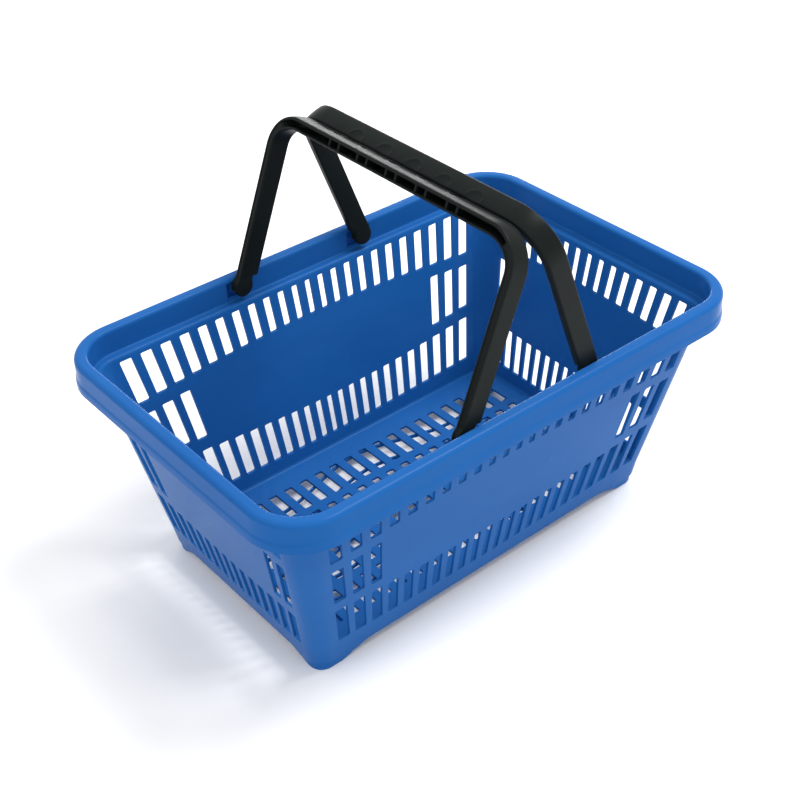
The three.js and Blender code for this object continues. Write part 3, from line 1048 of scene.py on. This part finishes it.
    def _low_point(self, sheet: Sheet, side: int, top: int, lean: float) -> int:
        """Return the point of the bottom edge straight down the wall from another, adding it once."""
        if top not in self.lows:
            back = Vector(sheet.points[top])
            lift = Vector(sheet.lifts[top]) * self.wall
            outward_way = Vector((-lift.x, -lift.y, 0)).normalized()
            low = self.edge_height(side, tuple(back))
            foot = back - outward_way * self.draft * (back.z - low)
            foot.z = low
            self.lows[top] = sheet.add(tuple(foot), tuple(foot + lift))
        return self.lows[top]

    def floor(self) -> Sheet:
        """Return the sheet of the floor: a plate with four rows of slots and a cove up to the walls."""
        sheet = Sheet(self.wall)
        top, under = self.floor_top, self.floor_top - self.wall
        xs = [(i - self.floor_columns / 2) * self.floor_pitch for i in range(self.floor_columns + 1)]

        def at(x: float, y: float) -> int:
            """Add a point of the flat floor."""
            return sheet.add((x, y, under), (x, y, top))

        grid = [[at(x, y) for y in self.floor_lines] for x in xs]
        r = self.slot_rounding
        cut = 0.29 * r
        for i, (left, right) in enumerate(pairwise(xs)):
            x0, x1 = (left + right - self.floor_slot) / 2, (left + right + self.floor_slot) / 2
            for j, (low, high) in enumerate(self.floor_rows):
                ring = [(x0, low + r), (x0 + cut, low + cut), (x0 + r, low),
                        (x1 - r, low), (x1 - cut, low + cut), (x1, low + r),
                        (x1, high - r), (x1 - cut, high - cut), (x1 - r, high),
                        (x0 + r, high), (x0 + cut, high - cut), (x0, high - r)]
                corners = (grid[i][j], grid[i + 1][j], grid[i + 1][j + 1], grid[i][j + 1])
                self._floor_cell(sheet, corners, [at(x, y) for x, y in ring])
        self._floor_border(sheet, grid, under, top)
        return sheet

    @staticmethod
    def _floor_cell(sheet: Sheet, corners: Sequence[int], hole: Sequence[int]) -> None:
        """Add a floor cell with its slot, looking up."""
        groups = [hole[3 * i:3 * i + 3] for i in range(4)]
        for i, corner in enumerate(corners):
            ahead = (i + 1) % 4
            first, middle, last = groups[i]
            sheet.face((corner, last, middle))
            sheet.face((corner, middle, first))
            sheet.face((corner, corners[ahead], groups[ahead][0], last))
        sheet.face(tuple(hole), opening=True)

    def _floor_border(self, sheet: Sheet, grid: list[list[int]], under: float, top: float) -> None:
        """Add the plain border of the floor and its cove up to the walls.

        Args:
            sheet: Sheet that gets them.
            grid: Point numbers of the slotted part, by column and row.
            under: Height of the underside.
            top: Height of the upper face.
        """
        loop = ([(g[0], 0) for g in grid[:-1]] + [(p, 1) for p in grid[-1][:-1]]
                + [(g[-1], 2) for g in reversed(grid[1:])] + [(p, 3) for p in reversed(grid[0][1:])])
        inner = self.wall * 1.02
        upper = self.floor_cove
        lower = upper - 0.4
        rings = [(self.wall_line(under, inner + lower - lower * math.sin(a)), under,
                  self.wall_line(top, inner + upper - upper * math.sin(a)), top + upper - upper * math.cos(a))
                 for a in (0.0, 0.5, 1.0, math.pi / 2)]

        def ring_points(place: Callable[[Outline], Point]) -> list[int]:
            """Add one point on each ring and return their numbers."""
            made = []
            for low_line, low, high_line, high in rings:
                back, front = place(low_line), place(high_line)
                made.append(sheet.add((*back[:2], low), (*front[:2], high)))
            return made

        halves = (self.floor_columns / 2 * self.floor_pitch, self.floor_lines[-1])
        spokes: list[tuple[int, list[int]]] = []
        for number, side in loop:
            x, y, _ = sheet.points[number]
            along = turned((x, y, 0), -side % 4)[0]
            if math.isclose(along, -halves[side % 2], abs_tol=0.01):
                before = (side - 1) % 4
                for i in range(5):
                    turn = (i / 5) * math.pi / 2
                    spokes.append((number, ring_points(lambda line, t=turn, s=before: line.on_corner(s, t))))
                spokes.append((number, ring_points(lambda line, s=side: line.on_side(s, -line.flat(s)))))
            else:
                spokes.append((number, ring_points(lambda line, s=side, a=along: line.on_side(s, a))))
        for (inner_here, here), (inner_there, there) in zip(spokes, [*spokes[1:], spokes[0]]):
            if inner_here == inner_there:
                sheet.face((inner_here, here[0], there[0]))
            else:
                sheet.face((inner_here, here[0], there[0], inner_there))
            for (a, b), (c, d) in zip(pairwise(here), pairwise(there)):
                sheet.face((a, b, d, c))

    def underside_ribs(self, tree: Tree) -> bpy.types.Object:
        """Return the stiffening ribs under the floor: waves along it and straight lines round it."""
        points: list[Point] = []
        edges: list[tuple[int, int]] = []

        def line(xy: Sequence[tuple[float, float]]) -> None:
            """Draw one rib line."""
            first = len(points)
            points.extend((x, y, self.rib_level) for x, y in xy)
            edges.extend((first + i, first + i + 1) for i in range(len(xy) - 1))

        steps = 96
        end, edge = 176.0, self.floor_lines[-1]
        for number in range(-3, 4):
            wave = [mix(-end, end, i / steps) for i in range(steps + 1)]
            base = number * self.rib_spacing
            line([(x, base + self.wave_height * math.cos(math.pi * x / self.wave_half_length)) for x in wave])
        for y in (-edge, edge):
            line([(-end, y), (end, y)])
        for x in (-end - 1, end + 1):
            line([(x, -edge - 3.5), (x, edge + 3.5)])
        ribs = new_piece("floor_ribs", points, [], edges)
        return grown(ribs, tree, {"Rib thickness": self.rib_thickness * MM, "Rib depth": self.rib_depth * MM,
                                  "Plastic": self.plastic})

    def foot(self, name: str, sx: int, sy: int) -> bpy.types.Object:
        """Return one foot: a lobe under a corner that bellies down to a small flat pad."""
        rings = []
        for inset, length, width, z in self.foot_levels:
            line = self.wall_line(z, inset)
            x1, y1 = line.half_x, line.half_y
            x0 = self.base_half_length - length - self.foot_setback
            y0 = self.base_half_width - width - self.foot_setback
            outer = max(2.0, line.radius)
            inner = min(7.0, (x1 - x0) / 2 - 0.5, (y1 - y0) / 2 - 0.5)
            outer = min(outer, x1 - x0 - inner - 0.4, y1 - y0 - inner - 0.4)
            ring = [*arc((x1 - outer, y1 - outer), outer, 0, 90, 10),
                    *arc((x0 + inner, y1 - inner), inner, 90, 180, 6),
                    *arc((x0 + inner, y0 + inner), inner, 180, 270, 6),
                    *arc((x1 - inner, y0 + inner), inner, 270, 360, 6)]
            rings.append([(sx * x, sy * y, z) for x, y in ring])
        count = len(rings[0])
        points = [p for ring in rings for p in ring]
        faces = [tuple(range(count)), tuple(range((len(rings) - 1) * count, len(rings) * count))]
        for level in range(len(rings) - 1):
            for i in range(count):
                a, b = level * count + i, level * count + (i + 1) % count
                faces.append((a, b, b + count, a + count))
        piece = outward(new_piece(name, points, faces))
        piece.data.materials.append(self.plastic)
        return softened(piece, 0.3, 60)

    def parting_fin(self, name: str, sx: int, sy: int) -> bpy.types.Object:
        """Return the fine upright flash line that the mould leaves on the corner of a foot."""
        points = []
        levels = (9.4, 6.5, 3.8, 2.2)
        for z in levels:
            line = self.wall_line(z, 1.0 + max(0.0, 3.0 - z) * 0.2)
            reach = line.radius * math.sqrt(0.5)
            x, y = line.flat(0) + reach, line.flat(1) + reach
            for along, out in ((-0.3, -0.4), (0.3, -0.4), (0.0, 0.35)):
                points.append((sx * (x + (out - along) * 0.7), sy * (y + (out + along) * 0.7), z))
        faces = [(0, 1, 2), (9, 10, 11)]
        for first in range(0, len(points) - 3, 3):
            for i in range(3):
                a, b = first + i, first + (i + 1) % 3
                faces.append((a, b, b + 3, a + 3))
        piece = outward(new_piece(name, points, faces))
        piece.data.materials.append(self.plastic)
        return piece

    def build(self, rib_tree: Tree) -> None:
        """Make, dress and place every piece of the tub."""
        places = {"near_left": (-1, -1), "near_right": (1, -1), "far_right": (1, 1), "far_left": (-1, 1)}
        shell = softened(self.shell().piece("tub_shell", self.tree, self.plastic), 0.2)
        settled(shell, Body.BASKET, [
            "near_long_wall", "far_long_wall", "right_short_wall", "left_short_wall",
            "near_long_rim", "far_long_rim", "right_short_rim", "left_short_rim",
            *(f"{place}_{part}" for place in places for part in ("corner", "rim_corner"))])
        floor = softened(self.floor().piece("floor_plate", self.tree, self.plastic), 0.2)
        settled(floor, Body.BASKET, ["floor_grille"])
        ribs = softened(self.underside_ribs(rib_tree), 0.25)
        settled(ribs, Body.BASKET, ["floor_rib_frame"])
        for place, (sx, sy) in places.items():
            settled(self.foot(f"{place}_foot_lobe", sx, sy), Body.BASKET, [f"{place}_foot"])
            settled(self.parting_fin(f"{place}_foot_flash", sx, sy), Body.BASKET)


# ---- Handles ------------------------------------------------------------------------------------------


@dataclass
class BailHandle:
    """A swinging handle: two strap arms, bends and a channelled grip, moulded in one."""

    side: Side
    plastic: bpy.types.Material
    length: float = 157.0
    half_width: float = 145.0
    bend_radius: float = 35.0
    strap_width: float = 18.5
    strap_thickness: float = 7.4
    strap_offset: float = 1.5
    grip_depth: float = 10.2
    flange: float = 2.2
    web: float = 2.6
    groove: float = 0.35
    lug_radius: float = 9.25
    lug_step: float = 6.8
    step_height: float = 11.0
    rounding: float = 1.5
    crown: float = 0.9
    scallops: int = 5
    scallop_pitch: float = 34.5
    scallop_half: float = 8.0
    scallop_reach: float = 6.5
    scallop_inset: float = 3.0
    scallop_shift: float = -6.0
    scallop_depth: float = 0.7
    scallop_lip: float = 0.35
    rib_pairs: int = 5
    rib_half_gap: float = 5.6
    rib_half_thickness: float = 1.1
    rib_shift: float = 4.0
    pivot: Point = (66.0, 0.0, 201.0)
    lean: float = math.radians(20.8)

    @property
    def grip_half(self) -> float:
        """Return half the length of the straight grip."""
        return self.half_width - self.bend_radius

    def placing(self) -> Matrix:
        """Return the move from the handle's own upright frame to its place on the basket."""
        sign = self.side.value
        pivot = Vector((sign * self.pivot[0], self.pivot[1], self.pivot[2])) * MM
        turn = Matrix.Rotation(0 if sign > 0 else math.pi, 4, "Z")
        return Matrix.Translation(pivot) @ Matrix.Rotation(-sign * self.lean, 4, "Y") @ turn

    def path(self) -> list[tuple[float, float, float, float, float]]:
        """Return the walk along the outer face from one lug to the other.

        Returns:
            For each step: y, z, the outward direction's y and z, and the share of the grip's section.
        """
        bend_level = self.length - self.bend_radius
        near_end = -(self.lug_radius - 0.12)
        heights = [near_end, -8.9, -8.4, -7.6, -6.4, -4.8, -2.6, 0.0, 2.6, 4.8, 6.2, 8.0]
        strap_start = 14.0
        heights += [self.step_height - 0.4, self.step_height + 0.5, strap_start]
        heights += [strap_start + (bend_level - strap_start) * i / 10 for i in range(1, 11)]
        steps = 24
        arm = [(-self.half_width, z, -1.0, 0.0, 0.0) for z in heights]
        bend = []
        for i in range(1, steps):
            turn = math.radians(90 * i / steps)
            y = -self.grip_half - self.bend_radius * math.cos(turn)
            z = bend_level + self.bend_radius * math.sin(turn)
            bend.append((y, z, -math.cos(turn), math.sin(turn), eased(12, 80, math.degrees(turn))))
        count = round(2 * self.grip_half)
        grip = [(i - self.grip_half, self.length, 0.0, 1.0, 1.0) for i in range(count + 1)]
        other = [(-y, z, -ny, nz, share) for y, z, ny, nz, share in reversed(arm + bend)]
        return arm + bend + grip + other

    def edges_at(self, y: float, z: float) -> tuple[float, float]:
        """Return the inner and outer edge of the strap at a step of the walk."""
        inner = -self.strap_width / 2 - self.strap_offset
        outer = self.strap_width / 2 - self.strap_offset
        if z > self.step_height or abs(y) < self.half_width - 1:
            return inner, outer
        chord = math.sqrt(max(0.0, self.lug_radius ** 2 - z * z))
        left = -self.lug_step if chord < self.lug_step and z > 0 else -chord
        return left, max(chord, outer) if z >= 0 else chord

    def scallop(self, y: float, across: float) -> float:
        """Return how deep a finger scallop, or how high its lip, is at a point of the grip's outer face."""
        if abs(y) > self.grip_half:
            return 0.0
        along = y - self.scallop_shift
        number = round(along / self.scallop_pitch)
        if abs(number) > self.scallops // 2:
            return 0.0
        length = (along - number * self.scallop_pitch) / self.scallop_half
        reach = (across + self.strap_width / 2 - self.scallop_inset) / self.scallop_reach
        away = math.hypot(length, reach)
        lip = self.scallop_lip * math.exp(-((away - 1.0) / 0.16) ** 2) if reach > 0 else 0.0
        return self.scallop_depth * max(0.0, 1 - away * away) - lip

    def section(self, y: float, share: float) -> list[tuple[float, float]]:
        """Return the section at a step of the walk, as points across and in from the outer face.

        Args:
            y: Place along the grip.
            share: Share of the grip's section, 0 on the arms and 1 on the grip.

        Returns:
            The closed section, starting at its inner upper edge.
        """
        half = self.strap_width / 2
        thick = mix(self.strap_thickness, self.grip_depth, share)
        r = self.rounding
        recess = self.groove + (self.strap_width - self.web - self.groove) * eased(0.55, 1.0, share)
        crown_steps = [-half + r + 0.55 * i for i in range(1, 14)] + [0.6, 2.2, 3.8, 5.4, 6.8]
        top = [*arc((-half + r, -r), r, 180, 90, 3), *((x, 0.0) for x in crown_steps),
               *arc((half - r, -r), r, 90, 0, 3)]
        top = [(x, v + self.crown * share * (1 - (x / half) ** 2) - self.scallop(y, x)) for x, v in top]
        lip = 0.45
        upper, lower = -self.flange, -thick + self.flange
        mouth = [(half, upper + lip), (half - 0.13, upper + 0.13), (half - lip - 0.05 * recess, upper),
                 (half - max(recess, lip + 0.1), upper), (half - max(recess, lip + 0.1), lower),
                 (half - lip - 0.05 * recess, lower), (half - 0.13, lower - 0.13), (half, lower - lip)]
        low = [*arc((half - r, -thick + r), r, 0, -90, 3), *arc((-half + r, -thick + r), r, 270, 180, 3)]
        return top + mouth + low

    def bail(self) -> bpy.types.Object:
        """Return the moulding, swept from one lug over the grip to the other."""
        points: list[Point] = []
        count = 0
        half = self.strap_width / 2
        path = self.path()
        for y, z, ny, nz, share in path:
            left, right = self.edges_at(y, z)
            section = self.section(y, share)
            count = len(section)
            for across, depth in section:
                x = mix(left, right, (across + half) / (2 * half))
                points.append((x, y + ny * depth, z + nz * depth))
        faces: list[tuple[int, ...]] = [tuple(range(count)), tuple(range(len(points) - count, len(points)))]
        for step in range(len(path) - 1):
            first = step * count
            for i in range(count):
                a, b = first + i, first + (i + 1) % count
                faces.append((a, b, b + count, a + count))
        piece = outward(new_piece(f"{self.side.name.lower()}_bail", points, faces))
        piece.data.materials.append(self.plastic)
        piece.data.shade_smooth()
        piece.data.set_sharp_from_angle(angle=math.radians(38))
        return self._worn(piece)

    @staticmethod
    def _worn(piece: bpy.types.Object) -> bpy.types.Object:
        """Mark the narrow faces along the rounded edges for wear."""
        worn = piece.data.attributes.new("edge", "FLOAT", "FACE")
        for polygon in piece.data.polygons:
            corners = [piece.data.vertices[i].co for i in polygon.vertices]
            shortest = min((a - b).length for a, b in zip(corners, corners[1:] + corners[:1]))
            worn.data[polygon.index].value = 1.0 if shortest < 0.5 * MM else 0.0
        return piece

    def ribs(self, tree: Tree) -> bpy.types.Object:
        """Return the paired ribs across the grip's channel."""
        half = self.strap_width / 2
        x0, x1 = -half - self.strap_offset + self.web - 0.4, half - self.strap_offset - 0.9
        z0, z1 = self.length - self.grip_depth + self.flange - 0.5, self.length - self.flange + 0.5
        ys = (-self.rib_half_thickness, self.rib_half_thickness)
        points = [(x, y + self.rib_shift, z) for x in (x0, x1) for y in ys for z in (z0, z1)]
        faces = [(0, 1, 3, 2), (4, 6, 7, 5), (0, 4, 5, 1), (2, 3, 7, 6), (0, 2, 6, 4), (1, 5, 7, 3)]
        piece = outward(new_piece(f"{self.side.name.lower()}_grip_ribs", points, faces))
        grown(piece, tree, {"Pairs": self.rib_pairs, "Pitch": self.scallop_pitch * MM,
                            "Half gap": self.rib_half_gap * MM, "Plastic": self.plastic})
        return softened(piece, 0.3)

    def build(self, rib_tree: Tree) -> None:
        """Make, dress and place the handle's pieces."""
        name = self.side.name.lower()
        body = Body[self.side.name]
        bail_nodes = [f"{name}_handle_{part}" for part in ("grip", "far_arm", "near_arm")]
        for piece, nodes in ((self.bail(), bail_nodes), (self.ribs(rib_tree), [])):
            piece.data.transform(self.placing())
            settled(piece, body, nodes)


# ---- Studio -------------------------------------------------------------------------------------------


@dataclass(frozen=True)
class Lamp:
    """A soft rectangular studio lamp aimed at the basket."""

    name: str
    place: Point
    size: tuple[float, float]
    power: float
    color: Color = (1.0, 1.0, 1.0)

    def add(self, aim: Vector) -> None:
        """Hang the lamp and turn it to a point."""
        light = bpy.data.lights.new(self.name, "AREA")
        light.shape = "RECTANGLE"
        light.size, light.size_y = self.size
        light.energy = self.power
        light.color = self.color
        lamp = bpy.data.objects.new(self.name, light)
        lamp.location = self.place
        lamp.rotation_euler = (aim - Vector(self.place)).to_track_quat("-Z", "Y").to_euler()
        bpy.context.scene.collection.objects.link(lamp)


@dataclass
class Studio:
    """The pale floor, the soft lamps, the sky and the camera."""

    azimuth: float = math.radians(-39.33)
    elevation: float = math.radians(36.45)
    roll: float = math.radians(-1.49)
    distance: float = 1.26611
    shift_right: float = -0.00988
    shift_up: float = 0.09914
    lens: float = 62.70
    sky: float = 1.0
    lamps: tuple[Lamp, ...] = (
        Lamp("right_softbox", (1.3, -0.6, 2.7), (1.2, 1.2), 66.0),
        Lamp("back_strip", (1.59, 1.80, 0.62), (0.9, 0.14), 9.0),
        Lamp("left_fill", (-2.1, 0.2, 1.5), (1.2, 1.2), 4.0),
    )

    def camera(self) -> None:
        """Set up the camera."""
        sine, cosine = math.sin(self.azimuth), math.cos(self.azimuth)
        level = math.cos(self.elevation)
        back = Vector((sine * level, -cosine * level, math.sin(self.elevation)))
        right = (-back).cross(Vector((0, 0, 1))).normalized()
        up = back.cross(right)
        tilted_right = right * math.cos(self.roll) + up * math.sin(self.roll)
        tilted_up = up * math.cos(self.roll) - right * math.sin(self.roll)
        place = back * self.distance + tilted_right * self.shift_right + tilted_up * self.shift_up
        lens = bpy.data.cameras.new("studio_camera")
        lens.lens = self.lens
        lens.sensor_width = 36.0
        camera = bpy.data.objects.new("studio_camera", lens)
        axes = Matrix((tilted_right, tilted_up, back)).transposed().to_4x4()
        camera.matrix_world = Matrix.Translation(place) @ axes
        bpy.context.scene.collection.objects.link(camera)
        bpy.context.scene.camera = camera

    def build(self) -> None:
        """Make the floor, the light and the camera."""
        self.camera()
        span = 6.0
        mesh = bpy.data.meshes.new("studio_floor")
        corners = [(-span, -span, 0), (span, -span, 0), (span, span, 0), (-span, span, 0)]
        mesh.from_pydata(corners, [], [(0, 1, 2, 3)])
        floor = bpy.data.objects.new("studio_floor", mesh)
        mesh.materials.append(PaleFloorFinish().material())
        bpy.context.scene.collection.objects.link(floor)
        for lamp in self.lamps:
            lamp.add(Vector((0, 0, 0.1)))
        world = bpy.data.worlds.new("studio_sky")
        world.use_nodes = True
        shade = world.node_tree.nodes["Background"]
        shade.inputs["Color"].default_value = (1.0, 1.0, 1.0, 1.0)
        shade.inputs["Strength"].default_value = self.sky
        bpy.context.scene.world = world
        bpy.context.scene.view_settings.view_transform = "Standard"


def dress_kept_solids(blue: bpy.types.Material, black: bpy.types.Material) -> None:
    """Give the plastics to the CAD solids that stay in sight.

    Args:
        blue: Plastic of the tub.
        black: Plastic of the handles.
    """
    for name, solid in frame["nodes"].items():
        plastic = black if "handle" in name else blue
        for slot in solid.material_slots:
            slot.material = plastic
        if "pivot_socket" in name or "trunnion" in name:
            LOG.info("%s keeps its solid", name)


def main() -> None:
    """Build the studio, the tub and the two handles."""
    logging.basicConfig(level=logging.INFO, format="%(name)s: %(message)s")
    for spare in [o for o in bpy.data.objects if o.name in ("Cube", "Light", "Camera")]:
        bpy.data.objects.remove(spare)
    Studio().build()
    effects = Effects()
    blue, black = BLUE.material(effects), BLACK.material(effects)
    dress_kept_solids(blue, black)
    Tub(blue, moulding_tree()).build(rib_line_tree())
    pair_tree = rib_pair_tree()
    BailHandle(Side.LEFT, black, bend_radius=31.0, strap_offset=2.2, lean=math.radians(21.3)).build(pair_tree)
    BailHandle(Side.RIGHT, black, bend_radius=37.0, strap_offset=0.2).build(pair_tree)


if __name__ == "__main__":
    main()
